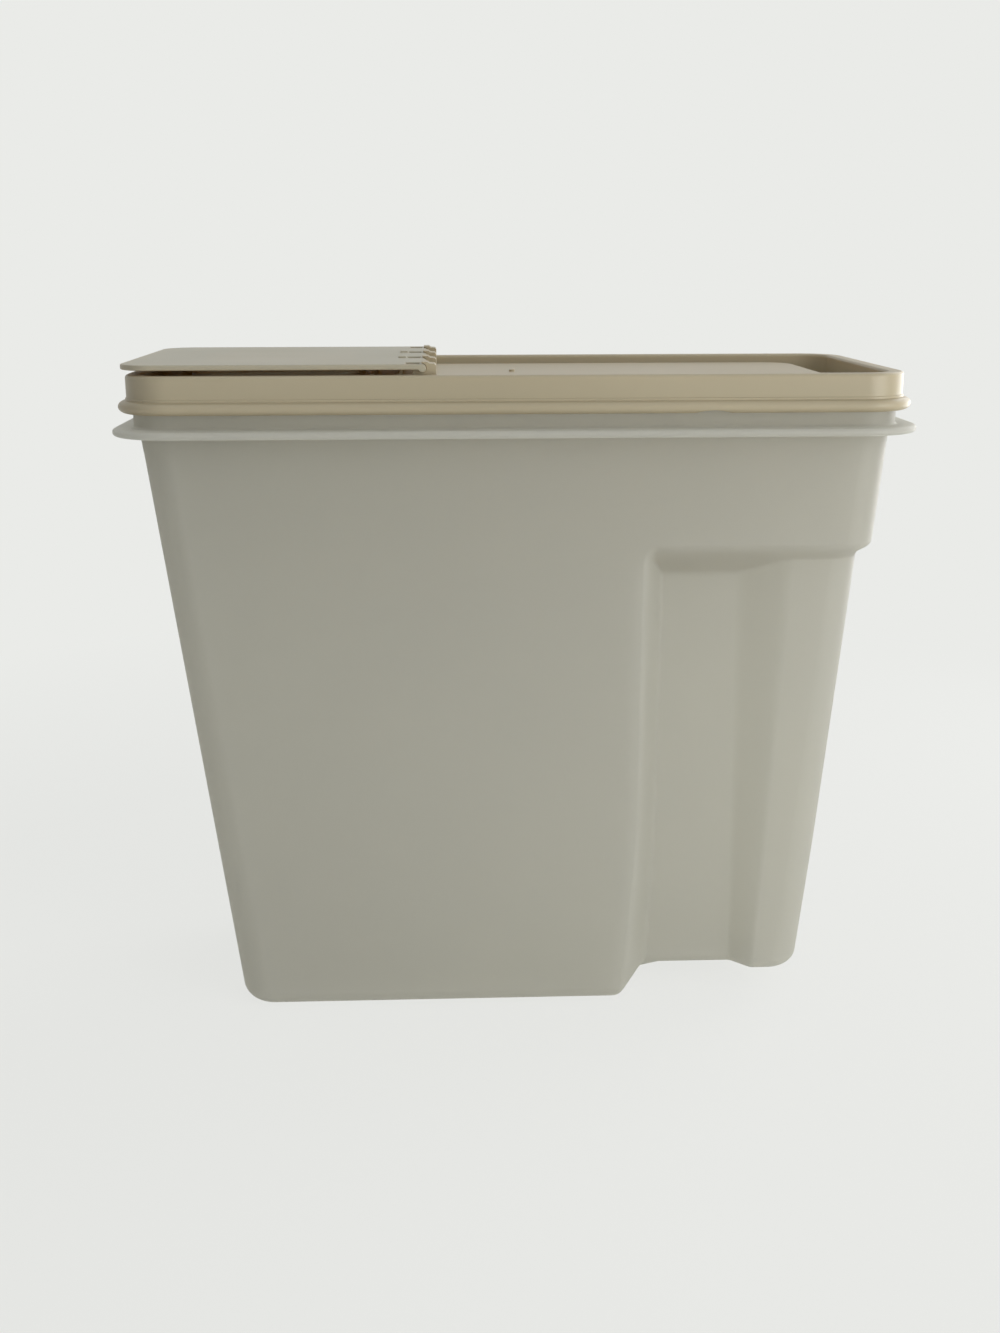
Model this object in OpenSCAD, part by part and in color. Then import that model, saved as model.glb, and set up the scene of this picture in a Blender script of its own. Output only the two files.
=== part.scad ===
// Tall cereal container: tapered translucent box with a hand grip, press-on lid and hinged flip cap.
// X runs from the pour end (-) to the grip end (+), -Y is the front, +Z is up.
// The origin is on the floor, under the centre of the flange.

/* [Container] */
// Width over the flange, pour end to grip end
flange_w = 285; // [235:1:345]
// Depth over the flange, front to back
flange_d = 126.6; // [105:0.2:152]
// Height of the container's rim above the floor
rim_top = 241.2; // [195:0.1:290]
// How far the flange stands out from the body under it
flange_reach = 9.7; // [8.5:0.1:12]
// Thickness of the flange at its edge
flange_t = 2.6; // [2:0.1:4]
// Height of the rim above the flange's underside
rim_h = 19.2; // [17:0.1:24]
// How far the rim stands out from the body at its two ends
rim_step_end = 2.1; // [0.5:0.1:2.5]
// How far the rim stands out from the body at the front and the back
rim_step_side = 2.35; // [0.5:0.05:2.5]
// Wall of the container
wall = 1.8; // [1.2:0.1:2.4]
// Floor of the container
floor_t = 2.2; // [1.5:0.1:4]
// Lean of the pour end wall, in degrees
pour_end_lean = 6.8; // [3:0.1:9]
// Lean of the grip end wall, in degrees
grip_end_lean = 4.5; // [3:0.1:7]
// Lean of the front and back walls, in degrees
side_lean = 2.2; // [1:0.1:3]
// Plan radius of the body's upright corners
body_corner = 12; // [9:0.5:14]
// Plan radius of the flange's corners
flange_corner = 22; // [17:1:28]
// Plan radius of the rim's corners, which the lid follows
rim_corner = 14; // [12:0.5:15]
// Radius under the body, where the walls meet the floor
foot_round = 7; // [2.5:0.1:8]

/* [Hand grip] */
// Distance of the grip's top edge below the flange
grip_drop = 39.5; // [25:0.5:60]
// Length of the grip, from its side edge to the body's end
grip_l = 88.2; // [80:0.2:110]
// Depth of the grip where the fingers go
grip_depth = 12.7; // [8:0.1:15]
// Depth of the grip beside the end wall
grip_end_depth = 5.6; // [3:0.1:7]
// How far the end wall is set in below the grip's top edge
grip_end_step = 3.6; // [3:0.1:6]
// Width of the sloped side of the grip
grip_side_run = 9.6; // [7:0.1:12]
// Height of the sloped ledge over the grip
grip_ledge_run = 14; // [10:0.5:18]
// How much the underside of the grip end is raised above the floor
heel_rise = 8.3; // [4:0.1:10]

/* [Lid] */
// Height of the lid's skirt, from its bead's lower edge to its top
skirt_h = 13.2; // [11.5:0.1:15]
// Wall of the lid's skirt and the thickness over the rim
skirt_t = 1.6; // [1.2:0.1:2]
// Wall of the lid's inner parts
lid_t = 1.5; // [1.2:0.1:1.8]
// Clearance of the lid to each side of the container's rim
rim_gap = 0.4; // [0.3:0.05:0.6]
// Clearance of the lid over the container's rim
rim_seat_gap = 0.3; // [0.2:0.05:0.4]
// How far the bead at the skirt's lower edge stands out
bead_reach = 3; // [2:0.1:3.4]
// Height of the bead
bead_h = 5.3; // [4.5:0.1:6]
// Depth of the centre panel below the lid's top
panel_drop = 2.8; // [2:0.1:3.2]
// Depth of the channel around the centre panel, below the lid's top
moat_drop = 7.5; // [6.5:0.1:8.5]
// Width of that channel at the pour end
moat_pour_end = 11.8; // [8:0.1:14]
// Width of that channel at the grip end
moat_grip_end = 16.2; // [10:0.1:20]
// Width of that channel along the front and the back
moat_side = 6; // [5:0.1:8]

/* [Pour opening] */
// Inner length of the pour opening
pour_l = 56.8; // [44:0.2:60]
// Distance of the pour collar from the panel's pour end
pour_end_margin = 4.5; // [3:0.1:8]
// Distance of the pour collar from the panel's front and back
pour_side_margin = 2.8; // [2:0.1:12]
// Height of the crest on the pour collar's front and back, over the lid's top
crest_h = 0.9; // [0.3:0.1:1]

/* [Flip cap] */
// Thickness of the cap
cap_t = 1.9; // [1.5:0.1:2.3]
// Gap between the cap and the lid's top
cap_gap = 1.7; // [1.1:0.1:2]
// How far the cap reaches past the lid's pour end wall
cap_overhang = 1.4; // [0.8:0.1:2.4]
// How far the cap's front and back edges lie inside the lid's
cap_inset = 3.4; // [3:0.1:5]
// Length of the cap's plug below its plate
plug_h = 4.3; // [2:0.1:5]
// Wall of the plug
plug_t = 1.4; // [1.1:0.1:1.8]
// Clearance of the plug in the pour opening
plug_gap = 0.4; // [0.3:0.05:0.6]
// Distance of the hinge's axis from the pour collar
hinge_run = 21.6; // [18:0.1:30]
// Radius of the cap's hinge rod
rod_r = 1.4; // [1.2:0.05:1.6]
// Radial clearance of the rod in the lid's hooks
rod_gap = 0.1; // [0.05:0.01:0.15]
// Thickness of a hook around the rod
hook_t = 1.7; // [1.3:0.1:2]
// Length of a hook along the hinge
hook_l = 8; // [5:0.5:10]
// Height of the hooks over the cap's top
hook_rise = 0.7; // [0.4:0.1:1]

/* [Hidden] */
round_fn = 64;
sheer = [0.62, 0.62, 0.58, 0.75];
almond = [0.74, 0.70, 0.60];

// Levels
flange_z = rim_top - rim_h;
body_w = flange_w - 2 * flange_reach;
body_d = flange_d - 2 * flange_reach;
lid_top = rim_top + rim_seat_gap + skirt_t;
skirt_z = lid_top - skirt_h;
panel_z = lid_top - panel_drop;
moat_z = lid_top - moat_drop;

// The container's rim: its corners and the lid's share their centres
rim_hw = body_w / 2 + rim_step_end;
rim_hd = body_d / 2 + rim_step_side;
corner_x = rim_hw - rim_corner;
corner_y = rim_hd - rim_corner;
skirt_in = rim_corner + rim_gap;
skirt_out = skirt_in + skirt_t;
plug_out = rim_corner - wall - rim_gap;
plug_in = plug_out - lid_t;

// Grip: its side flares out near the floor, and its end half bulges out beside the end wall.
// The bulge's two edges are distances from the corner's arc, at the floor and at the grip's top.
// An inset skin moves the side and the bulge by a share of the inset, so the wall stays even there.
grip_top = flange_z - grip_drop;
grip_edge = body_w / 2 - grip_l;
arc_n = 8;
side_n = 6;
bulge_n = 5;
soft = 0.22;
corner_soft = 0.55;
flare = 5.5;
flare_h = 75;
bulge_inner = [15.3, 34];
bulge_outer = [6.3, 13];
side_share = 0.5;
bulge_share = 0.17;
heel_from = grip_edge - flare + 0.5;
heel_run = 14;
heel_fade = 60;

// A ramp from 0 to 1 with rounded ends
function ramp(t) =
    t <= 0 ? 0
    : t >= 1 ? 1
    : t < soft ? t * t / (2 * soft * (1 - soft))
    : t > 1 - soft ? 1 - (1 - t) * (1 - t) / (2 * soft * (1 - soft))
    : (t - soft / 2) / (1 - soft);

function mix(a, b, t) = a + (b - a) * t;
function unit(t) = max(0, min(1, t));

// Points of an arc in the plane
function arc(centre, radius, from, to, n) =
    [for (i = [0 : n]) centre + radius * [cos(mix(from, to, i / n)), sin(mix(from, to, i / n))]];

// Outer size of the body at height z
function left_x(z) = -body_w / 2 + (flange_z - z) * tan(pour_end_lean);
function right_x(z) = body_w / 2 - (flange_z - z) * tan(grip_end_lean);
function half_d(z) = body_d / 2 - (flange_z - z) * tan(side_lean);

// The grip's sloped ledge, and its side with a rounded upper corner
function below_top(z) = (grip_top - z) / grip_ledge_run;
function inside(u, v) =
    u < corner_soft && v < corner_soft
    ? corner_soft - norm([corner_soft - u, corner_soft - v])
    : min(u, v);
function recess(u, deepest, z) = min(deepest, grip_depth * ramp(inside(u, below_top(z))));
function end_step(z) = min(grip_end_step, grip_depth * ramp(below_top(z)));

// Wall stations [x, depth] across the grip at height z, for a skin that lies inset from the outside
function side_x(z) = grip_edge - flare * pow(unit(1 - z / flare_h), 1.5);
function side_run(z) = grip_side_run + 0.6 * (grip_edge - side_x(z));
function arc_start(z) = right_x(z) - grip_end_step - body_corner;
function bulge_edge(edge, z) = mix(edge[0], edge[1], unit(z / grip_top));
function grip_stations(z, inset) = concat(
    [for (i = [0 : side_n])
        [side_x(z) + side_run(z) * i / side_n - side_share * inset, recess(i / side_n, grip_depth, z)]],
    [for (i = [0 : bulge_n])
        [arc_start(z) - mix(bulge_edge(bulge_inner, z), bulge_edge(bulge_outer, z), i / bulge_n)
            + bulge_share * inset,
            recess(1, mix(grip_depth, grip_end_depth, ramp(i / bulge_n)), z)]]);

// The raised underside of the grip end
function heel(x) = heel_rise * ramp((x - heel_from) / heel_run);

// Front half of a ring, from the pour end to the grip end, with the back half as its mirror image
function front_half(x0, x1, hd, r, stations, end_depth) = concat(
    arc([x0 + r, r - hd], r, 180, 270, arc_n),
    [for (s = stations) [s[0], s[1] - hd]],
    arc([x1 - r, r - hd + end_depth], r, 270, 360, arc_n));
function mirrored(front) = concat(front, [for (i = [len(front) - 1 : -1 : 0]) [front[i][0], -front[i][1]]]);

// A ring of the body's skin: its shape at height z, inset from the outside, placed at height place_z
function body_ring(z, inset, place_z) =
    let (stations = grip_stations(z, inset))
    [for (p = mirrored(front_half(left_x(z) + inset, right_x(z) - end_step(z) - inset,
            half_d(z) - inset, body_corner - inset, stations, stations[len(stations) - 1][1])))
        [p[0], p[1], place_z + heel(p[0]) * unit(1 - place_z / heel_fade)]];

// A ring above the body: a plain rounded rectangle
function plain_ring(hw, hd, r, z) =
    [for (p = mirrored(front_half(-hw, hw, hd, r,
            [for (s = grip_stations(flange_z, 0)) [s[0], 0]], 0)))
        [p[0], p[1], z]];

// Heights where the ledge over the grip needs a ring, from its lower edge up
ledge_n = 9;
ledge_levels = [for (i = [0 : ledge_n]) grip_top + 0.5 - (grip_ledge_run + 1) * (1 - i / ledge_n)];
low_levels = [14, 26, 42, heel_fade, 0.55 * grip_top];
foot_steps = [0 : 15 : 90];
inner_foot = max(2, foot_round - wall);
neck_z = flange_z + flange_t;
edge_r = flange_t / 2;
lip_r = 0.6;

outer_rings = concat(
    [for (a = foot_steps)
        body_ring(foot_round * (1 - cos(a)), foot_round * (1 - sin(a)), foot_round * (1 - cos(a)))],
    [for (z = low_levels) body_ring(z, 0, z)],
    [for (z = ledge_levels) body_ring(z, 0, z)],
    [body_ring(flange_z, 0, flange_z)],
    [for (a = [-90 : 30 : 90])
        plain_ring(flange_w / 2 - edge_r * (1 - cos(a)), flange_d / 2 - edge_r * (1 - cos(a)),
            flange_corner - edge_r * (1 - cos(a)), flange_z + edge_r * (1 + sin(a)))],
    [plain_ring(rim_hw, rim_hd, rim_corner, neck_z + 0.5)],
    [for (a = [0 : 45 : 90])
        plain_ring(rim_hw - lip_r * (1 - cos(a)), rim_hd - lip_r * (1 - cos(a)),
            rim_corner - lip_r * (1 - cos(a)), rim_top - lip_r * (1 - sin(a)))]);

inner_rings = concat(
    [for (a = [90 : -45 : 0])
        plain_ring(rim_hw - wall + lip_r * (1 - cos(a)), rim_hd - wall + lip_r * (1 - cos(a)),
            rim_corner - wall + lip_r * (1 - cos(a)), rim_top - lip_r * (1 - sin(a)))],
    [plain_ring(rim_hw - wall, rim_hd - wall, rim_corner - wall, neck_z + 0.5)],
    [body_ring(flange_z, wall, flange_z - 1)],
    [for (i = [ledge_n : -1 : 0]) body_ring(ledge_levels[i], wall, ledge_levels[i] + 0.4 * wall)],
    [for (i = [len(low_levels) - 1 : -1 : 0]) body_ring(low_levels[i], wall, low_levels[i] + 0.4)],
    [for (a = [90 : -15 : 0])
        body_ring(floor_t, wall + inner_foot * (1 - sin(a)), floor_t + inner_foot * (1 - cos(a)))]);

// Closed skin through a list of rings, capped at both ends by strips from front to back
module ring_skin(rings) {
    n = len(rings[0]);
    m = n / 2;
    last = (len(rings) - 1) * n;
    sides = [for (k = [0 : len(rings) - 2], j = [0 : n - 1])
        let (a = k * n + j, b = k * n + (j + 1) % n)
        each [[a, a + n, b + n], [a, b + n, b]]];
    caps = [for (i = [0 : m - 2])
        let (back = n - 1 - i)
        each [[i, i + 1, back - 1], [i, back - 1, back],
            [last + i, last + back - 1, last + i + 1], [last + i, last + back, last + back - 1]]];
    polyhedron(points = [for (r = rings) each r], faces = concat(sides, caps));
}

module container() {
    color(sheer) ring_skin(concat(outer_rings, inner_rings));
}

// A rounded rectangle about the origin
module plate2d(hw, hd, r) {
    square([2 * hw, 2 * (hd - r)], center = true);
    square([2 * (hw - r), 2 * hd], center = true);
    for (x = [-1, 1], y = [-1, 1])
        translate([x * (hw - r), y * (hd - r)]) circle(r, $fn = round_fn);
}

module slab(hw, hd, r, z0, z1) {
    translate([0, 0, z0]) linear_extrude(z1 - z0) plate2d(hw, hd, r);
}

module ring_wall(hw, hd, r, t, z0, z1) {
    difference() {
        slab(hw, hd, r, z0, z1);
        slab(hw - t, hd - t, r - t, z0 - 1, z1 + 1);
    }
}

// Runs a profile round the rim: its x is the distance out from the corners' centres, its y the height
module round_the_rim() {
    for (i = [0 : 3])
        rotate([0, 0, 90 * i])
            translate(i % 2 == 0 ? [corner_x, corner_y, 0] : [corner_y, corner_x, 0]) {
                rotate_extrude(angle = 90, $fn = round_fn) children();
                rotate([90, 0, 0])
                    linear_extrude(2 * (i % 2 == 0 ? corner_y : corner_x)) children();
            }
}

// The skirt with its bead, the top over the rim and the wall inside the rim
top_round = 1.2;
bead_z = skirt_z + bead_h / 2;
module lid_rim_profile() {
    polygon(concat(
        [[skirt_in, bead_z], [skirt_in, rim_top + rim_seat_gap], [plug_out, rim_top + rim_seat_gap],
            [plug_out, moat_z - lid_t], [plug_in, moat_z - lid_t]],
        arc([plug_in + top_round / 2, lid_top - top_round / 2], top_round / 2, 180, 90, 4),
        arc([skirt_out - top_round, lid_top - top_round], top_round, 90, 0, 6),
        [for (a = [90 : -15 : -75])
            [skirt_out + bead_reach * cos(a), bead_z + bead_h / 2 * sin(a)]],
        [[skirt_out - 0.2, skirt_z]]));
}

// Centre panel, set down in a channel
panel_left = -corner_x - plug_in + moat_pour_end;
panel_right = corner_x + plug_in - moat_grip_end;
panel_hw = (panel_right - panel_left) / 2;
panel_hd = corner_y + plug_in - moat_side;
panel_corner = 12;
joined = 0.5;
module at_panel() {
    translate([(panel_left + panel_right) / 2, 0, 0]) children();
}
module lid_panel() {
    at_panel() {
        slab(panel_hw, panel_hd, panel_corner, panel_z - lid_t, panel_z);
        ring_wall(panel_hw, panel_hd, panel_corner, lid_t, moat_z - lid_t, panel_z);
    }
    difference() {
        slab(corner_x + plug_in + joined, corner_y + plug_in + joined, plug_in + joined,
            moat_z - lid_t, moat_z);
        at_panel() slab(panel_hw - lid_t / 2, panel_hd - lid_t / 2, panel_corner - lid_t / 2,
            moat_z - lid_t - 1, moat_z + 1);
    }
}

// Pour opening, placed by its collar's distance from the panel's edges
pour_x = panel_left + pour_end_margin + lid_t + pour_l / 2;
pour_d = 2 * (panel_hd - pour_side_margin - lid_t);

// Collar round the pour opening: its front and back carry a shallow crest, highest near the hinge
collar_corner = 8;
collar_top = lid_top + 0.1;
crest_peak = 50;
crest_n = 16;
module pour_collar() {
    hw = pour_l / 2 + lid_t;
    hd = pour_d / 2 + lid_t;
    translate([pour_x, 0, 0]) ring_wall(hw, hd, collar_corner + lid_t, lid_t, panel_z - lid_t, collar_top);
    crest_l = pour_l + lid_t;
    crest = [for (i = [0 : crest_n])
        let (x = crest_l * i / crest_n, arm = x < crest_peak ? crest_peak : crest_l - crest_peak)
        [pour_x - crest_l / 2 + x, lid_top + crest_h - crest_h * pow((x - crest_peak) / arm, 2)]];
    flat = hw - collar_corner - lid_t;
    for (y = [-1, 1])
        translate([0, y * (hd - lid_t / 2) + lid_t / 2, 0])
            rotate([90, 0, 0])
                linear_extrude(lid_t)
                    intersection() {
                        polygon(concat([[pour_x - crest_l / 2, lid_top - 1]], crest,
                            [[pour_x + crest_l / 2, lid_top - 1]]));
                        translate([pour_x - flat, lid_top - 1]) square([2 * flat, 3]);
                    }
}

// Hinge: hooks on a cross bar hold the cap's rod
hinge_x = pour_x + pour_l / 2 + lid_t + hinge_run;
hinge_z = lid_top + cap_gap + cap_t - rod_r;
hook_out = rod_r + rod_gap + hook_t;
hook_pitch = (2 * (corner_y + plug_in) - hook_l) / 3;
hook_ys = [for (i = [-1.5 : 1 : 1.5]) i * hook_pitch];
bar_x = hinge_x + rod_r + rod_gap;
bar_t = 3.4;
mouth_from = 95;
mouth_to = 175;
module hook() {
    rotate([90, 0, 0])
        linear_extrude(hook_l, center = true)
            difference() {
                union() {
                    intersection() {
                        circle(hook_out, $fn = round_fn);
                        translate([-hook_out, -hook_out])
                            square([2 * hook_out, hook_out + rod_r + hook_rise]);
                    }
                    translate([-hook_out, panel_z - hinge_z]) square([2 * hook_out, hinge_z - panel_z - 1]);
                    translate([0, panel_z - hinge_z])
                        square([bar_x - hinge_x + bar_t, hinge_z - panel_z + rod_r]);
                }
                circle(rod_r + rod_gap, $fn = round_fn);
                polygon([[0, 0], for (a = [mouth_from : 20 : mouth_to]) 3 * hook_out * [cos(a), sin(a)]]);
            }
}

// The bar runs across the panel, and its two ends go down to the channel's floor.
bar_drop = 0.3;
module lid_hinge() {
    bar_hd = corner_y + plug_in + joined;
    bar_foot = panel_hd - lid_t;
    for (y = hook_ys) translate([hinge_x, y, hinge_z]) hook();
    translate([bar_x, -bar_hd, panel_z - lid_t])
        cube([bar_t, 2 * bar_hd, lid_top - bar_drop - panel_z + lid_t]);
    for (y = [-bar_hd, bar_foot])
        translate([bar_x, y, moat_z - lid_t]) cube([bar_t, bar_hd - bar_foot, panel_z - moat_z + lid_t]);
}

// Two low ribs stiffen the panel between the pour collar and the hinge
rib_xs = [hinge_x - 17.5, hinge_x - 8.5];
rib_t = 1.2;
rib_drop = 0.2;
module lid_ribs() {
    for (x = rib_xs)
        translate([x - rib_t / 2, -panel_hd + lid_t, panel_z - joined])
            cube([rib_t, 2 * (panel_hd - lid_t), lid_top - rib_drop - panel_z + joined]);
}

// A shallow arch in the bead gives the thumb a hold, at the front and at the back
lift_x = grip_edge + 22.4;
lift_w = 13;
lift_h = 1.1;
lift_r = (lift_w * lift_w / 4 + lift_h * lift_h) / (2 * lift_h);
module lift_arch() {
    for (y = [-1, 1])
        translate([lift_x, y * (corner_y + skirt_in - 0.3), skirt_z + lift_h - lift_r])
            rotate([-90 * y, 0, 0]) cylinder(h = 10, r = lift_r, $fn = 96);
}

// The moulding's gate mark at the middle of the lid
gate_r = 1.1;
gate_h = 0.8;
module gate_mark() {
    translate([0, 0, panel_z - joined]) cylinder(h = joined + gate_h, r = gate_r, $fn = 32);
}

module lid() {
    color(almond) {
        difference() {
            union() {
                round_the_rim() lid_rim_profile();
                lid_panel();
            }
            translate([pour_x, 0, 0])
                slab(pour_l / 2 + lid_t / 2, pour_d / 2 + lid_t / 2, collar_corner, moat_z, lid_top + 5);
            lift_arch();
        }
        pour_collar();
        lid_hinge();
        lid_ribs();
        gate_mark();
    }
}

// Flip cap: plate, hinge rod and the plug that closes the pour opening
cap_z = lid_top + cap_gap;
cap_left = -corner_x - skirt_out - cap_overhang;
cap_hd = corner_y + skirt_out - cap_inset;
cap_corner = 12;
notch_l = bar_x + bar_t - hinge_x + 0.8;
notch_w = hook_l + 1;
module cap_outline() {
    difference() {
        translate([cap_left, -cap_hd]) {
            translate([cap_corner, 0]) square([hinge_x - cap_left - cap_corner, 2 * cap_hd]);
            translate([0, cap_corner]) square([cap_corner, 2 * (cap_hd - cap_corner)]);
            for (y = [cap_corner, 2 * cap_hd - cap_corner])
                translate([cap_corner, y]) circle(cap_corner, $fn = round_fn);
        }
        for (y = hook_ys)
            translate([hinge_x - notch_l, y - notch_w / 2]) square([notch_l + 1, notch_w]);
    }
}

bar_mark = [2.8, 5, 0.5];
mark_gap = 0.4;
module grip_marks() {
    for (y = [hook_ys[1], hook_ys[2]])
        translate([hinge_x - notch_l - bar_mark[0] - mark_gap, y - bar_mark[1] / 2, cap_z + cap_t - 0.2])
            cube([bar_mark[0], bar_mark[1], bar_mark[2] + 0.2]);
}

module flip_cap() {
    color(almond) {
        translate([0, 0, cap_z]) linear_extrude(cap_t) cap_outline();
        translate([hinge_x, cap_hd, hinge_z]) rotate([90, 0, 0]) cylinder(h = 2 * cap_hd, r = rod_r, $fn = round_fn);
        translate([pour_x, 0, 0])
            ring_wall(pour_l / 2 - plug_gap, pour_d / 2 - plug_gap, collar_corner - plug_gap, plug_t,
                cap_z - plug_h, cap_z + joined);
        grip_marks();
    }
}

container();
lid();
flip_cap();
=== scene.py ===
"""Tall cereal container with a press-on lid and a flip cap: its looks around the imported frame.

Lengths are millimetres until a mesh is made, and are then scaled to metres.
X runs from the pour end (-) to the grip end (+), -Y is the front and +Z is up.
"""
import math

import bmesh
import bpy
from mathutils import Matrix, Vector


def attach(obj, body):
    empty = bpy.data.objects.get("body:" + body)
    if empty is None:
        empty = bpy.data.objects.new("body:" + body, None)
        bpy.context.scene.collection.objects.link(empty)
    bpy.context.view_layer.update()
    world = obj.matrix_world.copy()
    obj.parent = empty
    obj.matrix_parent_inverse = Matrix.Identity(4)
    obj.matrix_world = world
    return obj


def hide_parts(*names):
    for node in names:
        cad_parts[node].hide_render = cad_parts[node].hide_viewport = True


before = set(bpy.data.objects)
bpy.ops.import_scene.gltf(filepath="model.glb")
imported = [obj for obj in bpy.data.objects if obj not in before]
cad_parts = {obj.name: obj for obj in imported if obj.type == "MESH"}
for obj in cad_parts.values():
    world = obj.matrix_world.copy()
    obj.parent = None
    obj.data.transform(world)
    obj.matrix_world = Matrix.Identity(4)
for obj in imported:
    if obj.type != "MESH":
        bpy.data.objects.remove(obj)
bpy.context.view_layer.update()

MM = 0.001

# ---------------------------------------------------------------- sizes, in mm
FLANGE_W, FLANGE_D = 285.0, 126.6
RIM_TOP, RIM_H = 241.2, 19.2
FLANGE_REACH, FLANGE_T, FLANGE_CORNER = 9.7, 2.6, 22.0
RIM_STEP_END, RIM_STEP_SIDE = 2.1, 2.35
WALL, FLOOR_T = 1.8, 2.2
POUR_LEAN, GRIP_LEAN, SIDE_LEAN = (math.tan(math.radians(a)) for a in (6.8, 4.5, 2.2))
BODY_CORNER, FOOT_ROUND, RIM_CORNER = 12.0, 7.0, 14.0
GRIP_DROP, GRIP_L = 39.5, 88.2
GRIP_DEPTH, GRIP_END_DEPTH, GRIP_END_STEP = 12.7, 5.6, 3.6
GRIP_SIDE_RUN, GRIP_LEDGE_RUN, HEEL_RISE = 9.6, 14.0, 8.3

FLANGE_Z = RIM_TOP - RIM_H
BODY_HW, BODY_HD = FLANGE_W / 2 - FLANGE_REACH, FLANGE_D / 2 - FLANGE_REACH
RIM_HW, RIM_HD = BODY_HW + RIM_STEP_END, BODY_HD + RIM_STEP_SIDE
CORNER_X, CORNER_Y = RIM_HW - RIM_CORNER, RIM_HD - RIM_CORNER
NECK_Z = FLANGE_Z + FLANGE_T

SKIRT_H, SKIRT_T, LID_T = 13.2, 1.6, 1.5
RIM_GAP, SEAT_GAP = 0.4, 0.3
BEAD_REACH, BEAD_H = 3.0, 5.3
LID_TOP = RIM_TOP + SEAT_GAP + SKIRT_T
SKIRT_Z = LID_TOP - SKIRT_H
PANEL_Z, MOAT_Z = LID_TOP - 2.8, LID_TOP - 7.5
SKIRT_IN = RIM_CORNER + RIM_GAP
SKIRT_OUT = SKIRT_IN + SKIRT_T
PLUG_OUT = RIM_CORNER - WALL - RIM_GAP
PLUG_IN = PLUG_OUT - LID_T
PANEL_LEFT = -CORNER_X - PLUG_IN + 11.8
PANEL_RIGHT = CORNER_X + PLUG_IN - 16.2
PANEL_HD = CORNER_Y + PLUG_IN - 6.0
PANEL_CORNER = 12.0
POUR_L = 56.8
POUR_X = PANEL_LEFT + 4.5 + LID_T + POUR_L / 2
POUR_HD = PANEL_HD - 2.8 - LID_T
COLLAR_CORNER, CREST_H, CREST_PEAK = 8.0, 0.9, 50.0

CAP_GAP, CAP_T, ROD_R, ROD_GAP = 1.7, 1.9, 1.4, 0.1
CAP_Z = LID_TOP + CAP_GAP
CAP_LEFT = -CORNER_X - SKIRT_OUT - 1.4
CAP_HD = CORNER_Y + SKIRT_OUT - 3.4
HINGE_X = POUR_X + POUR_L / 2 + LID_T + 21.6
HINGE_Z = LID_TOP + CAP_GAP + CAP_T - ROD_R
HOOK_T, HOOK_L, HOOK_RISE = 1.7, 8.0, 0.7
HOOK_OUT = ROD_R + ROD_GAP + HOOK_T
HOOK_PITCH = (2 * (CORNER_Y + PLUG_IN) - HOOK_L) / 3
HOOK_YS = [i * HOOK_PITCH for i in (-1.5, -0.5, 0.5, 1.5)]
BAR_X, BAR_T = HINGE_X + ROD_R + ROD_GAP, 3.4
PLUG_H, PLUG_T, PLUG_GAP = 4.3, 1.4, 0.4
NOTCH_L = ROD_R + ROD_GAP + BAR_T + 0.8
MARK_L, MARK_W, MARK_H, MARK_GAP = 2.8, 5.0, 0.5, 0.4


# ---------------------------------------------------------------- small helpers
def mix(a, b, t):
    return a + (b - a) * t


def unit(t):
    return max(0.0, min(1.0, t))


def steps(a, b, n):
    return [mix(a, b, i / n) for i in range(n + 1)]


def arc(cx, cy, radius, start, end, n):
    return [(cx + radius * math.cos(math.radians(a)), cy + radius * math.sin(math.radians(a)))
            for a in steps(start, end, n)]


RAMP_SOFT = 0.22


def ramp(t):
    """From 0 to 1 with rounded ends."""
    if t <= 0:
        return 0.0
    if t >= 1:
        return 1.0
    if t < RAMP_SOFT:
        return t * t / (2 * RAMP_SOFT * (1 - RAMP_SOFT))
    if t > 1 - RAMP_SOFT:
        return 1 - (1 - t) ** 2 / (2 * RAMP_SOFT * (1 - RAMP_SOFT))
    return (t - RAMP_SOFT / 2) / (1 - RAMP_SOFT)


def mesh_object(name, verts, faces):
    mesh = bpy.data.meshes.new(name)
    mesh.from_pydata([(x * MM, y * MM, z * MM) for x, y, z in verts], [], faces)
    mesh.validate()
    obj = bpy.data.objects.new(name, mesh)
    bpy.context.scene.collection.objects.link(obj)
    bm = bmesh.new()
    bm.from_mesh(mesh)
    bmesh.ops.remove_doubles(bm, verts=bm.verts, dist=1e-7)
    bmesh.ops.recalc_face_normals(bm, faces=bm.faces)
    bm.to_mesh(mesh)
    bm.free()
    return obj


def use_modifier(obj, kind, **settings):
    """Adds a modifier and applies it at once."""
    m = obj.modifiers.new(kind.lower(), kind)
    for key, value in settings.items():
        setattr(m, key, value)
    bpy.context.view_layer.objects.active = obj
    with bpy.context.temp_override(object=obj, active_object=obj, selected_objects=[obj]):
        bpy.ops.object.modifier_apply(modifier=m.name)


def round_edges(obj, width, segments=3, angle=50):
    use_modifier(obj, "BEVEL", width=width * MM, segments=segments, limit_method="ANGLE",
                 angle_limit=math.radians(angle), harden_normals=False, profile=0.5)


def join(obj, tool):
    use_modifier(obj, "BOOLEAN", operation="UNION", object=tool, solver="EXACT")
    bpy.data.objects.remove(tool)


def smooth(obj, angle):
    """Smooth shading with edges kept sharp above the angle, in degrees."""
    for p in obj.data.polygons:
        p.use_smooth = True
    obj.data.set_sharp_from_angle(angle=math.radians(angle))
    use_modifier(obj, "WEIGHTED_NORMAL", weight=60, keep_sharp=True)


def skin(rings):
    """Quads between closed rings of equal length."""
    n = len(rings[0])
    verts = [p for ring in rings for p in ring]
    faces = []
    for k in range(len(rings) - 1):
        for j in range(n):
            a, b = k * n + j, k * n + (j + 1) % n
            faces.append((a, b, b + n, a + n))
    return verts, faces


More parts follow.
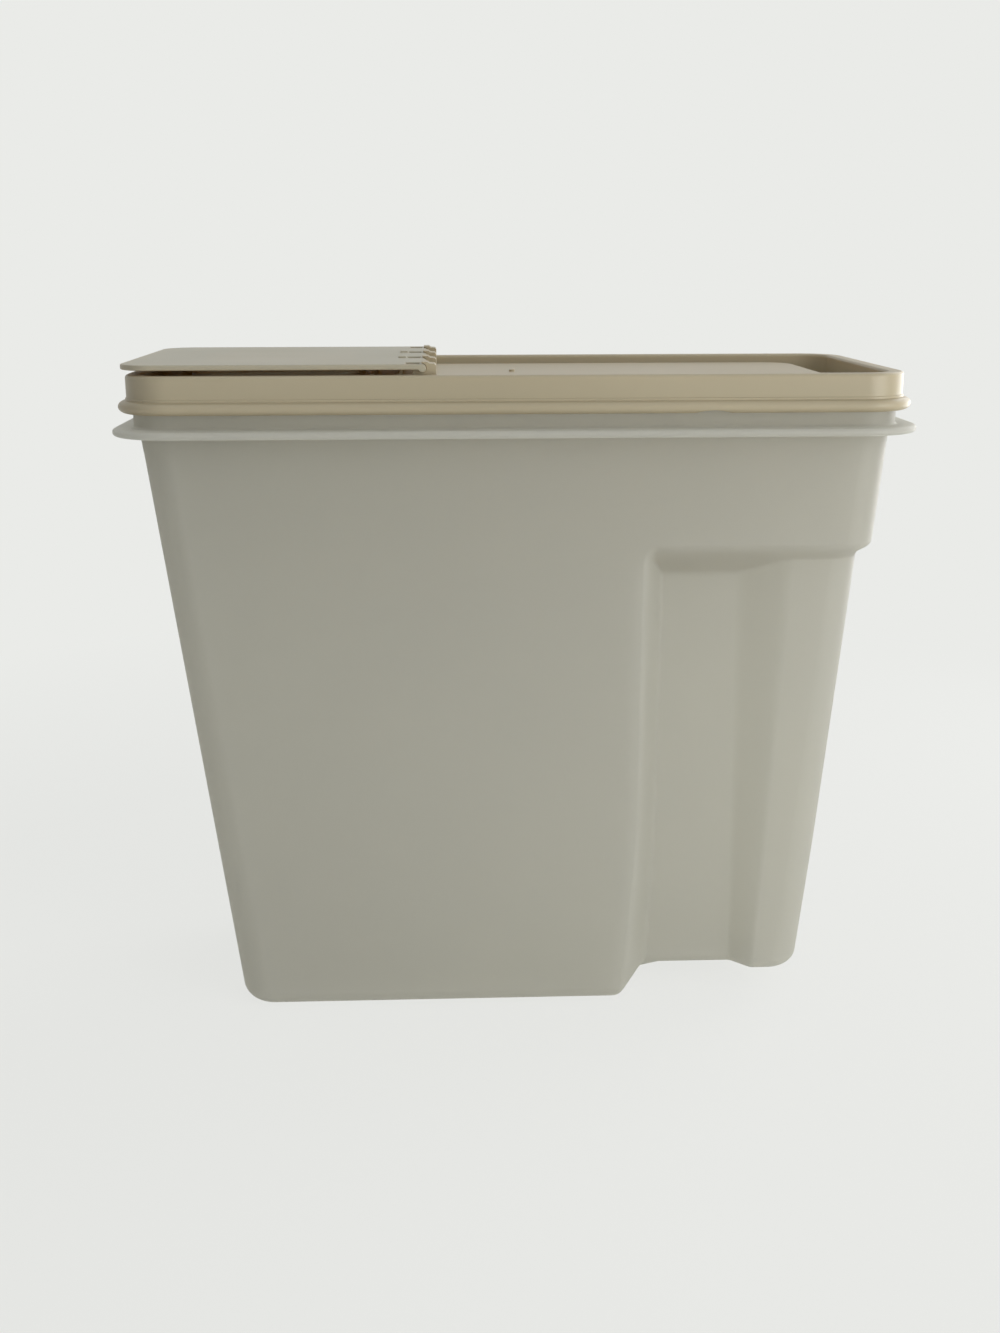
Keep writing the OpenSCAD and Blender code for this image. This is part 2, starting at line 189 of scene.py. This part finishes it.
def extruded(name, outline, axis, start, end):
    """A closed outline run along Y, as (x, z), or along Z, as (x, y), from start to end."""
    n = len(outline)
    place = {"Y": lambda u, v, w: (u, w, v), "Z": lambda u, v, w: (u, v, w)}[axis]
    verts = [place(u, v, w) for w in (start, end) for u, v in outline]
    faces = [(j, (j + 1) % n, n + (j + 1) % n, n + j) for j in range(n)]
    faces += [tuple(range(n))[::-1], tuple(range(n, 2 * n))]
    return mesh_object(name, verts, faces)


def block(name, x0, x1, y0, y1, z0, z1, width=0.3):
    outline = [(x0, y0), (x1, y0), (x1, y1), (x0, y1)]
    obj = extruded(name, outline, "Z", z0, z1)
    round_edges(obj, width)
    return obj


# ---------------------------------------------------------------- container
GRIP_TOP = FLANGE_Z - GRIP_DROP
GRIP_EDGE = BODY_HW - GRIP_L
FLARE, FLARE_H = 5.5, 75.0
BULGE_INNER, BULGE_OUTER = (15.3, 34.0), (6.3, 13.0)
SIDE_SHARE, BULGE_SHARE = 0.5, 0.17
CORNER_SOFT = 0.55
HEEL_FROM, HEEL_RUN, HEEL_FADE = GRIP_EDGE - FLARE + 0.5, 14.0, 60.0
INNER_LIFT = 0.4  # how far the inner rings sit over the outer ones
# numbers of steps: round the plan's corners and along its front, then up the walls
ARC_N, FLAT_N, SIDE_N, FLOOR_N, BULGE_N, LAST_N = 12, 12, 16, 5, 14, 3
QUARTER_N, LEDGE_N, LOW_N, HIGH_N, EDGE_N = 10, 26, 17, 5, 12


def left_x(z):
    return -BODY_HW + (FLANGE_Z - z) * POUR_LEAN


def right_x(z):
    return BODY_HW - (FLANGE_Z - z) * GRIP_LEAN


def half_d(z):
    return BODY_HD - (FLANGE_Z - z) * SIDE_LEAN


def below_top(z):
    return (GRIP_TOP - z) / GRIP_LEDGE_RUN


def recess(u, deepest, z):
    v = below_top(z)
    if u < CORNER_SOFT and v < CORNER_SOFT:
        t = CORNER_SOFT - math.hypot(CORNER_SOFT - u, CORNER_SOFT - v)
    else:
        t = min(u, v)
    return min(deepest, GRIP_DEPTH * ramp(t))


def end_step(z):
    return min(GRIP_END_STEP, GRIP_DEPTH * ramp(below_top(z)))


def side_x(z):
    return GRIP_EDGE - FLARE * unit(1 - z / FLARE_H) ** 1.5


def front_stations(z, inset, x0, x1):
    """(x, depth) across the front wall, from the pour end's corner to the grip end's."""
    sx, run = side_x(z), GRIP_SIDE_RUN + 0.6 * (GRIP_EDGE - side_x(z))
    start = right_x(z) - GRIP_END_STEP - BODY_CORNER
    up = unit(z / GRIP_TOP)
    inner, outer = mix(*BULGE_INNER, up), mix(*BULGE_OUTER, up)
    side = [(sx + run * t - SIDE_SHARE * inset, recess(t, GRIP_DEPTH, z))
            for t in steps(0, 1, SIDE_N)]
    bulge = [(start - mix(inner, outer, t) + BULGE_SHARE * inset,
              recess(1, mix(GRIP_DEPTH, GRIP_END_DEPTH, ramp(t)), z)) for t in steps(0, 1, BULGE_N)]
    flat = [(x, 0.0) for x in steps(x0, side[0][0], FLAT_N)[1:-1]]
    floor = [(x, side[-1][1]) for x in steps(side[-1][0], bulge[0][0], FLOOR_N)[1:-1]]
    last = [(x, bulge[-1][1]) for x in steps(bulge[-1][0], x1, LAST_N)[1:-1]]
    return flat + side + floor + bulge + last


def mirrored(front):
    return front + [(x, -y) for x, y in reversed(front)]


def heel(x):
    return HEEL_RISE * ramp((x - HEEL_FROM) / HEEL_RUN)


def body_ring(z, inset, place_z):
    x0, x1 = left_x(z) + inset, right_x(z) - end_step(z) - inset
    hd, r = half_d(z) - inset, BODY_CORNER - inset
    st = front_stations(z, inset, x0 + r, x1 - r)
    front = arc(x0 + r, r - hd, r, 180, 270, ARC_N) + [(x, d - hd) for x, d in st]
    front += arc(x1 - r, r - hd + st[-1][1], r, 270, 360, ARC_N)
    fade = unit(1 - place_z / HEEL_FADE)
    return [(x, y, place_z + heel(x) * fade) for x, y in mirrored(front)]


def plain_ring(hw, hd, r, z):
    xs = [x for x, d in front_stations(FLANGE_Z, 0, r - hw, hw - r)]
    front = arc(r - hw, r - hd, r, 180, 270, ARC_N) + [(x, -hd) for x in xs]
    front += arc(hw - r, r - hd, r, 270, 360, ARC_N)
    return [(x, y, z) for x, y in mirrored(front)]


def rim_ring(out, z):
    return plain_ring(RIM_HW + out, RIM_HD + out, RIM_CORNER + out, z)


def container_rings():
    edge, lip, root = FLANGE_T / 2, 0.6, 1.1
    inner_foot = FOOT_ROUND - WALL
    quarter = [math.radians(a) for a in steps(0, 90, QUARTER_N)]
    ledge = steps(GRIP_TOP + 0.5 - (GRIP_LEDGE_RUN + 1), GRIP_TOP + 0.5, LEDGE_N)
    low = steps(FOOT_ROUND, ledge[0], LOW_N)[1:-1]
    high = steps(ledge[-1], FLANGE_Z - root, HIGH_N)[1:-1]
    rings = []
    for a in quarter:
        inset, z = FOOT_ROUND * (1 - math.sin(a)), FOOT_ROUND * (1 - math.cos(a))
        rings.append(body_ring(z, inset, z))
    for z in low + ledge + high:
        rings.append(body_ring(z, 0, z))
    for a in quarter[::2]:  # fillet under the flange
        out = root * (1 - math.cos(a))
        rings.append(plain_ring(BODY_HW + out, BODY_HD + out, BODY_CORNER + out,
                                FLANGE_Z - root + root * math.sin(a)))
    for a in steps(-90, 90, EDGE_N):  # the flange's round edge
        back = edge * (1 - math.cos(math.radians(a)))
        rings.append(plain_ring(FLANGE_W / 2 - back, FLANGE_D / 2 - back, FLANGE_CORNER - back,
                                FLANGE_Z + edge * (1 + math.sin(math.radians(a)))))
    for a in quarter[::2]:  # fillet at the rim's foot
        rings.append(rim_ring(root * (1 - math.sin(a)), NECK_Z + root * (1 - math.cos(a))))
    for a in quarter[::2]:
        back = lip * (1 - math.cos(a))
        rings.append(rim_ring(-back, RIM_TOP - lip * (1 - math.sin(a))))
    inside_from = len(rings)
    for a in quarter[::-2]:
        back = lip * (1 - math.cos(a))
        rings.append(rim_ring(back - WALL, RIM_TOP - lip * (1 - math.sin(a))))
    rings.append(rim_ring(-WALL, NECK_Z + 0.5))
    rings.append(body_ring(FLANGE_Z, WALL, FLANGE_Z - 1))
    for z in reversed(high[:-1]):
        rings.append(body_ring(z, WALL, z + INNER_LIFT * WALL))
    for z in reversed(ledge):
        rings.append(body_ring(z, WALL, z + INNER_LIFT * WALL))
    for z in reversed(low):
        rings.append(body_ring(z, WALL, z + INNER_LIFT))
    for a in reversed(quarter):
        rings.append(body_ring(FLOOR_T, WALL + inner_foot * (1 - math.sin(a)),
                               FLOOR_T + inner_foot * (1 - math.cos(a))))
    return rings, inside_from


def make_container():
    """The shell, with material 0 on its outside and 1 on its inside."""
    rings, inside_from = container_rings()
    verts, faces = skin(rings)
    n, last = len(rings[0]), (len(rings) - 1) * len(rings[0])
    inside = [i // n >= inside_from for i in range(len(faces))]
    for i in range(n // 2 - 1):
        j = n - 1 - i
        faces.append((i, i + 1, j - 1, j))
        faces.append((last + i, last + j, last + j - 1, last + i + 1))
        inside += [False, True]
    shell = mesh_object("container_shell", verts, faces)
    shell.data.polygons.foreach_set("material_index", [int(v) for v in inside])
    return shell


# ---------------------------------------------------------------- lid
LIFT_X, LIFT_W, LIFT_H = GRIP_EDGE + 22.4, 13.0, 1.1
LIFT_R = (LIFT_W ** 2 / 4 + LIFT_H ** 2) / (2 * LIFT_H)
LID_ARC_N = 14
BEAD_LOSS = 0.9  # the bead is this much lower than the CAD's, with a fine step over it
STEP_OUT, STEP_H = 0.35, 0.55
RIB_T, RIBS_BEFORE_HINGE = 1.2, (17.5, 8.5)
GATE_R, GATE_H = 1.1, 0.8
LID_XS = sorted([LIFT_X + LIFT_W * t for t in steps(-0.65, 0.65, 26)]
                + [-90.0, -60.0, -30.0, 0.0, 30.0, 100.0])


def round_rect(x0, x1, hd, r, xs=()):
    """Counter-clockwise from the pour end's front corner; xs are stations on both long sides."""
    n = LID_ARC_N
    inside = [x for x in xs if x0 + r < x < x1 - r]
    pts = arc(x0 + r, r - hd, r, 180, 270, n) + [(x, -hd) for x in inside]
    pts += arc(x1 - r, r - hd, r, 270, 360, n) + arc(x1 - r, hd - r, r, 0, 90, n)
    return pts + [(x, hd) for x in reversed(inside)] + arc(x0 + r, hd - r, r, 90, 180, n)


def lid_ring(d, z):
    pts = round_rect(-CORNER_X - d, CORNER_X + d, CORNER_Y + d, d, xs=LID_XS)
    return [(x, y, z) for x, y in pts]


def arched(ring):
    """Lifts the bead's lower side over the thumb arches."""
    out = []
    for x, y, z in ring:
        reach = LIFT_R ** 2 - (x - LIFT_X) ** 2
        if abs(x - LIFT_X) < LIFT_W and abs(y) > CORNER_Y + SKIRT_IN - 0.3:
            z = max(z, SKIRT_Z + LIFT_H - LIFT_R + math.sqrt(reach))
        out.append((x, y, z))
    return out


def panel_ring(inset, z):
    pts = round_rect(PANEL_LEFT + inset, PANEL_RIGHT - inset, PANEL_HD - inset, PANEL_CORNER - inset,
                     xs=LID_XS)
    return [(x, y, z) for x, y in pts]


def collar_ring(out, z, crest=False):
    """A ring of the pour collar, out mm from the opening's edge; its front and back carry the crest."""
    hw, hd, r = POUR_L / 2 + out, POUR_HD + out, COLLAR_CORNER + out
    pts = round_rect(POUR_X - hw, POUR_X + hw, hd, r)
    n = LID_ARC_N + 1
    # as many stations along each side as a panel ring has
    m = len([x for x in LID_XS if PANEL_LEFT + PANEL_CORNER < x < PANEL_RIGHT - PANEL_CORNER])
    run = [POUR_X - (hw - r) + 2 * (hw - r) * (i + 1) / (m + 1) for i in range(m)]
    front, back = [(x, -hd) for x in run], [(x, hd) for x in reversed(run)]
    pts = pts[:n] + front + pts[n:3 * n] + back + pts[3 * n:]
    length = POUR_L + LID_T
    out_pts = []
    for x, y in pts:
        lift = 0.0
        if crest:
            along = x - (POUR_X - length / 2)
            arm = CREST_PEAK if along < CREST_PEAK else length - CREST_PEAK
            side = unit((abs(y) - (hd - r)) / r)
            lift = max(0.0, CREST_H * (1 - ((along - CREST_PEAK) / arm) ** 2)) * ramp(side)
        out_pts.append((x, y, z + lift))
    return out_pts


def make_lid():
    top_r, in_r, small = 1.2, 1.0, 0.6
    bead_h = BEAD_H - BEAD_LOSS
    bead_z = SKIRT_Z + bead_h / 2
    seat_z = RIM_TOP + SEAT_GAP
    under = PANEL_Z - LID_T
    rings = []
    # under the panel, round the channel and up into the groove over the rim
    rings += [panel_ring(LID_T, under), panel_ring(LID_T, MOAT_Z - LID_T)]
    rings += [lid_ring(PLUG_OUT - 0.4, MOAT_Z - LID_T), lid_ring(PLUG_OUT, MOAT_Z - LID_T + 0.4)]
    rings += [lid_ring(PLUG_OUT, seat_z), lid_ring(SKIRT_IN, seat_z), lid_ring(SKIRT_IN, bead_z)]
    rings.append(arched(lid_ring(SKIRT_OUT - 0.2, SKIRT_Z)))
    # the bead, the fine step over it, and the skirt
    for a in steps(-75, 80, 16):
        t = math.radians(a)
        rings.append(arched(lid_ring(SKIRT_OUT + BEAD_REACH * math.cos(t),
                                     bead_z + bead_h / 2 * math.sin(t))))
    bead_top = SKIRT_Z + bead_h
    rings.append(lid_ring(SKIRT_OUT + STEP_OUT, bead_top + 0.02))
    for a in steps(0, 90, 5):
        t = math.radians(a)
        rings.append(lid_ring(SKIRT_OUT + STEP_OUT * math.cos(t),
                              bead_top + STEP_H + STEP_OUT * math.sin(t)))
    rings.append(lid_ring(SKIRT_OUT, bead_top + STEP_H + STEP_OUT + 0.15))
    for a in steps(0, 90, 8):
        t = math.radians(a)
        rings.append(lid_ring(SKIRT_OUT - top_r * (1 - math.cos(t)),
                              LID_TOP - top_r * (1 - math.sin(t))))
    # over the rim and down into the channel
    for a in steps(90, 0, 8):
        t = math.radians(a)
        rings.append(lid_ring(PLUG_IN + in_r * (1 - math.cos(t)),
                              LID_TOP - in_r * (1 - math.sin(t))))
    for a in steps(0, 90, 5):
        t = math.radians(a)
        rings.append(lid_ring(PLUG_IN - small * (1 - math.cos(t)),
                              MOAT_Z + small * (1 - math.sin(t))))
    for a in steps(90, 0, 5):
        t = math.radians(a)
        rings.append(panel_ring(-small * (1 - math.cos(t)), MOAT_Z + small * (1 - math.sin(t))))
    for a in steps(0, 90, 6):
        t = math.radians(a)
        rings.append(panel_ring(0.8 * (1 - math.cos(t)), PANEL_Z - 0.8 * (1 - math.sin(t))))
    # across the panel to the pour collar, over its crest and back to the underside
    for a in steps(90, 0, 5):
        t = math.radians(a)
        rings.append(collar_ring(LID_T + small * (1 - math.cos(t)),
                                 PANEL_Z + small * (1 - math.sin(t))))
    half = LID_T / 2
    for a in steps(0, 180, 12):
        t = math.radians(a)
        rings.append(collar_ring(half + half * math.cos(t),
                                 LID_TOP + 0.1 - half + half * math.sin(t), crest=True))
    rings.append(collar_ring(0, under))
    verts, faces = skin(rings)
    n, last = len(rings[0]), (len(rings) - 1) * len(rings[0])
    faces += [(last + j, last + (j + 1) % n, (j + 1) % n, j) for j in range(n)]  # the panel's underside
    lid = mesh_object("lid_shell", verts, faces)
    for part in lid_details():
        join(lid, part)
    return lid


def hook_outline():
    bore, top = ROD_R + ROD_GAP, ROD_R + HOOK_RISE
    foot = PANEL_Z - HINGE_Z - 0.6
    post = BAR_X - HINGE_X + BAR_T
    pts = [(-top / math.tan(math.radians(85)), top)]
    pts += [(math.sqrt(HOOK_OUT ** 2 - top ** 2) - 0.5, top), (HOOK_OUT - 0.5, ROD_R + 0.1)]
    pts += [(post - 0.6, ROD_R), (post, ROD_R - 0.6), (post, foot), (-HOOK_OUT, foot)]
    pts += arc(0, 0, HOOK_OUT, 180, 175, 1)
    pts += arc(0, 0, bore, 175, 455, 34)
    return [(HINGE_X + x, HINGE_Z + z) for x, z in pts]


def lid_details():
    """What stands on the lid: hooks, the bar behind them, ribs and the gate mark."""
    for i, y in enumerate(HOOK_YS):
        hook = extruded(f"hook_{i}", hook_outline(), "Y", y - HOOK_L / 2, y + HOOK_L / 2)
        round_edges(hook, 0.3, segments=2, angle=40)
        yield hook
    reach = CORNER_Y + PLUG_IN + 0.7
    yield block("bar", BAR_X, BAR_X + BAR_T, -reach, reach, PANEL_Z - 0.9, LID_TOP - 0.3, 0.5)
    for y in (-1, 1):
        y0, y1 = sorted((y * (PANEL_HD - LID_T / 2), y * reach))
        yield block(f"gusset_{y}", BAR_X + 0.3, BAR_X + BAR_T - 0.3, y0, y1,
                    MOAT_Z - 0.8, LID_TOP - 1.2, 0.2)
    for before in RIBS_BEFORE_HINGE:
        x = HINGE_X - before
        yield block(f"rib_{x:.0f}", x - RIB_T / 2, x + RIB_T / 2, LID_T - PANEL_HD, PANEL_HD - LID_T,
                    PANEL_Z - 0.7, LID_TOP - 0.2)
    nub = extruded("gate_mark", arc(0, 0, GATE_R, 0, 345, 23), "Z", PANEL_Z - 0.7, PANEL_Z + GATE_H)
    round_edges(nub, 0.25)
    yield nub


# ---------------------------------------------------------------- flip cap
CAP_CORNER, NOTCH_HW = 12.0, (HOOK_L + 1) / 2
ROD_SLACK = 0.01  # keeps the rod's facets inside the CAD's


def make_cap():
    corner, hd = CAP_CORNER, CAP_HD
    right, notch_x = HINGE_X - 0.1, HINGE_X - NOTCH_L
    outline = arc(CAP_LEFT + corner, corner - hd, corner, 180, 270, 20) + [(right, -hd)]
    for y in HOOK_YS:
        y0, y1 = y - NOTCH_HW, y + NOTCH_HW
        outline += [(right, y0), (notch_x, y0), (notch_x, y1), (right, y1)]
    outline += [(right, hd)] + arc(CAP_LEFT + corner, hd - corner, corner, 90, 180, 20)
    cap = extruded("flip_cap_plate", outline, "Z", CAP_Z, CAP_Z + CAP_T)
    round_edges(cap, 0.5, segments=4)
    circle = arc(0, 0, ROD_R - ROD_SLACK, 5, 355, 35)
    rod = extruded("rod", [(HINGE_X + x, HINGE_Z + z) for x, z in circle], "Y", -hd, hd)
    round_edges(rod, 0.3)
    join(cap, rod)
    join(cap, plug_ring())
    for y in HOOK_YS[1:3]:
        x, top = notch_x - MARK_GAP, CAP_Z + CAP_T
        join(cap, block("mark", x - MARK_L, x, y - MARK_W / 2, y + MARK_W / 2,
                        top - 0.4, top + MARK_H, 0.2))
    return cap


def plug_ring():
    hw, hd, r = POUR_L / 2 - PLUG_GAP, POUR_HD - PLUG_GAP, COLLAR_CORNER - PLUG_GAP
    half, top = PLUG_T / 2, CAP_Z + 0.6

    def ring(inset, z):
        pts = round_rect(POUR_X - hw + inset, POUR_X + hw - inset, hd - inset, r - inset)
        return [(x, y, z) for x, y in pts]

    rings = [ring(0, top)]
    for a in steps(0, 180, 8):
        t = math.radians(a)
        rings.append(ring(half - half * math.cos(t), CAP_Z - PLUG_H + half - half * math.sin(t)))
    rings.append(ring(PLUG_T, top))
    verts, faces = skin(rings)
    n, last = len(rings[0]), (len(rings) - 1) * len(rings[0])
    faces += [(last + j, last + (j + 1) % n, (j + 1) % n, j) for j in range(n)]
    return mesh_object("plug", verts, faces)


# ---------------------------------------------------------------- materials
def srgb(r, g, b):
    def lin(v):
        v /= 255
        return v / 12.92 if v <= 0.04045 else ((v + 0.055) / 1.055) ** 2.4
    return (lin(r), lin(g), lin(b), 1.0)


class Nodes:
    """Short forms for building a node tree."""

    def __init__(self, name):
        self.mat = bpy.data.materials.new(name)
        self.mat.use_nodes = True
        self.tree = self.mat.node_tree
        self.tree.nodes.clear()
        self.out = self.add("ShaderNodeOutputMaterial")

    def add(self, kind, inputs=None, **settings):
        node = self.tree.nodes.new(kind)
        for key, value in settings.items():
            setattr(node, key, value)
        for key, value in (inputs or {}).items():
            if isinstance(value, bpy.types.NodeSocket):
                self.tree.links.new(value, node.inputs[key])
            else:
                node.inputs[key].default_value = value
        return node

    def noise(self, scale, detail):
        """Noise in object space, with scale in features per metre."""
        where = self.add("ShaderNodeTexCoord").outputs["Object"]
        return self.add("ShaderNodeTexNoise", {"Vector": where, "Scale": scale, "Detail": detail,
                                               "Roughness": 0.5}).outputs["Fac"]

    def spread(self, value, low, high):
        """Maps a noise value, about 0.2 to 0.8, to low..high with soft ends."""
        return self.add("ShaderNodeMapRange", {"Value": value, "From Min": 0.2, "From Max": 0.8,
                                               "To Min": low, "To Max": high},
                        interpolation_type="SMOOTHSTEP").outputs["Result"]

    def blend(self, factor, a, b):
        node = self.add("ShaderNodeMix", data_type="RGBA", blend_type="MIX")
        for key, value in ((0, factor), (6, a), (7, b)):
            if isinstance(value, bpy.types.NodeSocket):
                self.tree.links.new(value, node.inputs[key])
            else:
                node.inputs[key].default_value = value
        return node.outputs[2]

    def bump(self, height, strength, distance, normal=None):
        inputs = {"Height": height, "Strength": strength, "Distance": distance}
        if normal is not None:
            inputs["Normal"] = normal
        return self.add("ShaderNodeBump", inputs).outputs["Normal"]

    def finish(self, shader):
        self.tree.links.new(shader, self.out.inputs["Surface"])
        return self.mat


PLASTIC_IOR = 1.51
MILKY, MILKY_LIGHT, MILKY_COOL = srgb(188, 188, 182), srgb(194, 194, 186), srgb(184, 186, 181)
MILKY_THROUGH, ALMOND_THROUGH = srgb(235, 234, 229), srgb(214, 178, 124)
ALMOND_SHARE = 0.22


def milky_plastic(name, through_share):
    """Sheer plastic: through_share of the light goes on through the wall, scattered."""
    n = Nodes(name)
    large, middle, fine = n.noise(9.0, 1.5), n.noise(38.0, 3.0), n.noise(1500.0, 2.0)
    tone = n.blend(n.spread(large, 0.0, 1.0), MILKY, MILKY_LIGHT)
    tone = n.blend(n.spread(middle, 0.0, 0.35), tone, MILKY_COOL)
    rough = n.spread(middle, 0.36, 0.46)
    normal = n.bump(large, 0.35, 0.0016)
    normal = n.bump(middle, 0.25, 0.0002, normal)
    normal = n.bump(fine, 0.12, 0.00002, normal)
    face = n.add("ShaderNodeBsdfPrincipled", {"Base Color": tone, "Roughness": rough, "Normal": normal,
                                              "IOR": PLASTIC_IOR})
    through = n.add("ShaderNodeBsdfTranslucent", {"Color": MILKY_THROUGH, "Normal": normal})
    both = n.add("ShaderNodeMixShader", {0: through_share, 1: face.outputs[0], 2: through.outputs[0]})
    return n.finish(both.outputs[0])


def almond_plastic(name, colour, other):
    n = Nodes(name)
    large, middle, fine = n.noise(11.0, 1.0), n.noise(30.0, 1.0), n.noise(1400.0, 1.0)
    tone = n.blend(n.spread(large, 0.0, 1.0), colour, other)
    rough = n.spread(middle, 0.33, 0.37)
    normal = n.bump(large, 0.25, 0.0003)
    normal = n.bump(fine, 0.1, 0.00001, normal)
    face = n.add("ShaderNodeBsdfPrincipled", {"Base Color": tone, "Roughness": rough, "Normal": normal,
                                              "IOR": PLASTIC_IOR})
    through = n.add("ShaderNodeBsdfTranslucent", {"Color": ALMOND_THROUGH, "Normal": normal})
    both = n.add("ShaderNodeMixShader", {0: ALMOND_SHARE, 1: face.outputs[0], 2: through.outputs[0]})
    return n.finish(both.outputs[0])


# ---------------------------------------------------------------- the object
def dress(obj, materials, body, node, angle):
    smooth(obj, angle)
    for material in materials:
        obj.data.materials.append(material)
    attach(obj, body)
    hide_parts(node)


almond = almond_plastic("almond_polyethylene", srgb(189, 180, 153), srgb(195, 186, 159))
# The cap's copy of the almond plastic is greyer than the lid's: a painted reflection of the pale
# surroundings on the cap's top.
almond_with_painted_sheen = almond_plastic("almond_polyethylene_cap_painted_sheen", srgb(187, 184, 163), srgb(193, 189, 168))
milky = [milky_plastic("milky_polyethylene", 0.6),
         milky_plastic("milky_polyethylene_inside", 0.9)]
dress(make_container(), milky, "container", "container", angle=60)
dress(make_lid(), [almond], "lid", "lid", angle=35)
dress(make_cap(), [almond_with_painted_sheen], "flip_cap", "flip_cap", angle=35)

# ---------------------------------------------------------------- stage
BACKGROUND = srgb(234, 235, 232)
NEAR_M, FAR_M = 0.28, 0.62  # the floor's shadow fades out between these distances
FLOOR_R, FLOOR_DROP = 30000.0, 0.05


def show_as(n, flat, real):
    """Camera, glossy and transmission rays see flat; every other ray meets the real surface."""
    path = n.add("ShaderNodeLightPath")
    seen = n.add("ShaderNodeMath", {0: path.outputs["Is Camera Ray"], 1: path.outputs["Is Glossy Ray"]},
                 operation="MAXIMUM")
    seen = n.add("ShaderNodeMath", {0: seen.outputs[0], 1: path.outputs["Is Transmission Ray"]},
                 operation="MAXIMUM")
    return n.add("ShaderNodeMixShader", {0: seen.outputs[0], 1: real, 2: flat}).outputs[0]


def make_floor():
    n = Nodes("pale_floor")
    shadowed = n.add("ShaderNodeBsdfDiffuse", {"Color": (0.10, 0.10, 0.098, 1.0)})
    glow = n.add("ShaderNodeEmission", {"Color": BACKGROUND, "Strength": 0.88})
    near = n.add("ShaderNodeAddShader", {0: shadowed.outputs[0], 1: glow.outputs[0]}).outputs[0]
    far = n.add("ShaderNodeEmission", {"Color": BACKGROUND, "Strength": 1.0}).outputs[0]
    where = n.add("ShaderNodeTexCoord").outputs["Object"]
    length = n.add("ShaderNodeVectorMath", {0: where}, operation="LENGTH").outputs["Value"]
    away = n.add("ShaderNodeMapRange", {"Value": length, "From Min": NEAR_M, "From Max": FAR_M}, clamp=True)
    flat = n.add("ShaderNodeMixShader", {0: away.outputs["Result"], 1: near, 2: far}).outputs[0]
    real = n.add("ShaderNodeBsdfDiffuse", {"Color": (0.78, 0.78, 0.76, 1.0)}).outputs[0]
    mat = n.finish(show_as(n, flat, real))
    pts = arc(0, 0, FLOOR_R, 0, 354, 59)
    floor = mesh_object("floor", [(x, y, -FLOOR_DROP) for x, y in pts], [tuple(range(len(pts)))])
    floor.data.materials.append(mat)


def make_world():
    world = bpy.data.worlds.new("studio")
    bpy.context.scene.world = world
    world.use_nodes = True
    tree = world.node_tree
    tree.nodes.clear()
    out = tree.nodes.new("ShaderNodeOutputWorld")
    room = tree.nodes.new("ShaderNodeBackground")
    room.inputs["Color"].default_value = (0.96, 0.98, 1.0, 1.0)
    room.inputs["Strength"].default_value = 0.32
    seen = tree.nodes.new("ShaderNodeBackground")
    seen.inputs["Color"].default_value = BACKGROUND
    path = tree.nodes.new("ShaderNodeLightPath")
    pick = tree.nodes.new("ShaderNodeMixShader")
    shown = path.outputs["Is Camera Ray"]
    for ray in ("Is Glossy Ray", "Is Transmission Ray"):
        either = tree.nodes.new("ShaderNodeMath")
        either.operation = "MAXIMUM"
        tree.links.new(shown, either.inputs[0])
        tree.links.new(path.outputs[ray], either.inputs[1])
        shown = either.outputs[0]
    tree.links.new(shown, pick.inputs[0])
    tree.links.new(room.outputs[0], pick.inputs[1])
    tree.links.new(seen.outputs[0], pick.inputs[2])
    tree.links.new(pick.outputs[0], out.inputs["Surface"])


def area_light(name, at, aim, size, power, colour):
    """A round soft light, with places and size in metres and power in watts."""
    data = bpy.data.lights.new(name, "AREA")
    data.shape, data.size, data.energy, data.color = "DISK", size, power, colour
    obj = bpy.data.objects.new(name, data)
    obj.location = at
    obj.visible_camera = False
    obj.rotation_euler = (Vector(aim) - Vector(at)).to_track_quat("-Z", "Y").to_euler()
    bpy.context.scene.collection.objects.link(obj)


def make_camera():
    """The camera fitted to the picture, placed in metres."""
    focal_px, frame_px = 1526.9, 1333
    pitch, yaw, roll = (math.radians(a) for a in (15.0, 2.242, -0.112))
    forward = Vector((math.sin(yaw) * math.cos(pitch), math.cos(yaw) * math.cos(pitch), -math.sin(pitch)))
    right = Vector((math.cos(yaw), -math.sin(yaw), 0))
    up = right.cross(forward)
    side = math.cos(roll) * right + math.sin(roll) * up
    top = -math.sin(roll) * right + math.cos(roll) * up
    data = bpy.data.cameras.new("camera")
    data.sensor_width = 36.0
    data.lens = focal_px * data.sensor_width / frame_px
    data.clip_start, data.clip_end = 0.01, 100.0
    cam = bpy.data.objects.new("camera", data)
    turn = Matrix((side, top, -forward)).transposed().to_4x4()
    cam.matrix_world = Matrix.Translation((-0.02775, -0.58732, 0.28202)) @ turn
    bpy.context.scene.collection.objects.link(cam)
    bpy.context.scene.camera = cam


make_floor()
make_world()
area_light("window", (1.4, -1.15, 0.95), (0.0, 0.0, 0.12), 1.8, 14.5, (1.0, 0.99, 0.97))
area_light("ceiling", (0.0, 0.0, 2.2), (0.0, 0.0, 0.1), 2.0, 5.0, (0.97, 0.99, 1.0))
area_light("back_window", (1.4, 1.2, 0.9), (0.0, 0.0, 0.12), 1.7, 15.5, (1.0, 1.0, 1.0))
area_light("side_window", (0.58, 0.30, 0.15), (0.08, 0.0, 0.12), 0.45, 1.9, (1.0, 1.0, 1.0))
area_light("table_bounce", (0.62, -0.62, 0.04), (0.08, 0.0, 0.18), 0.6, 4.0, (1.0, 0.98, 0.94))
make_camera()
bpy.context.scene.view_settings.view_transform = "Standard"
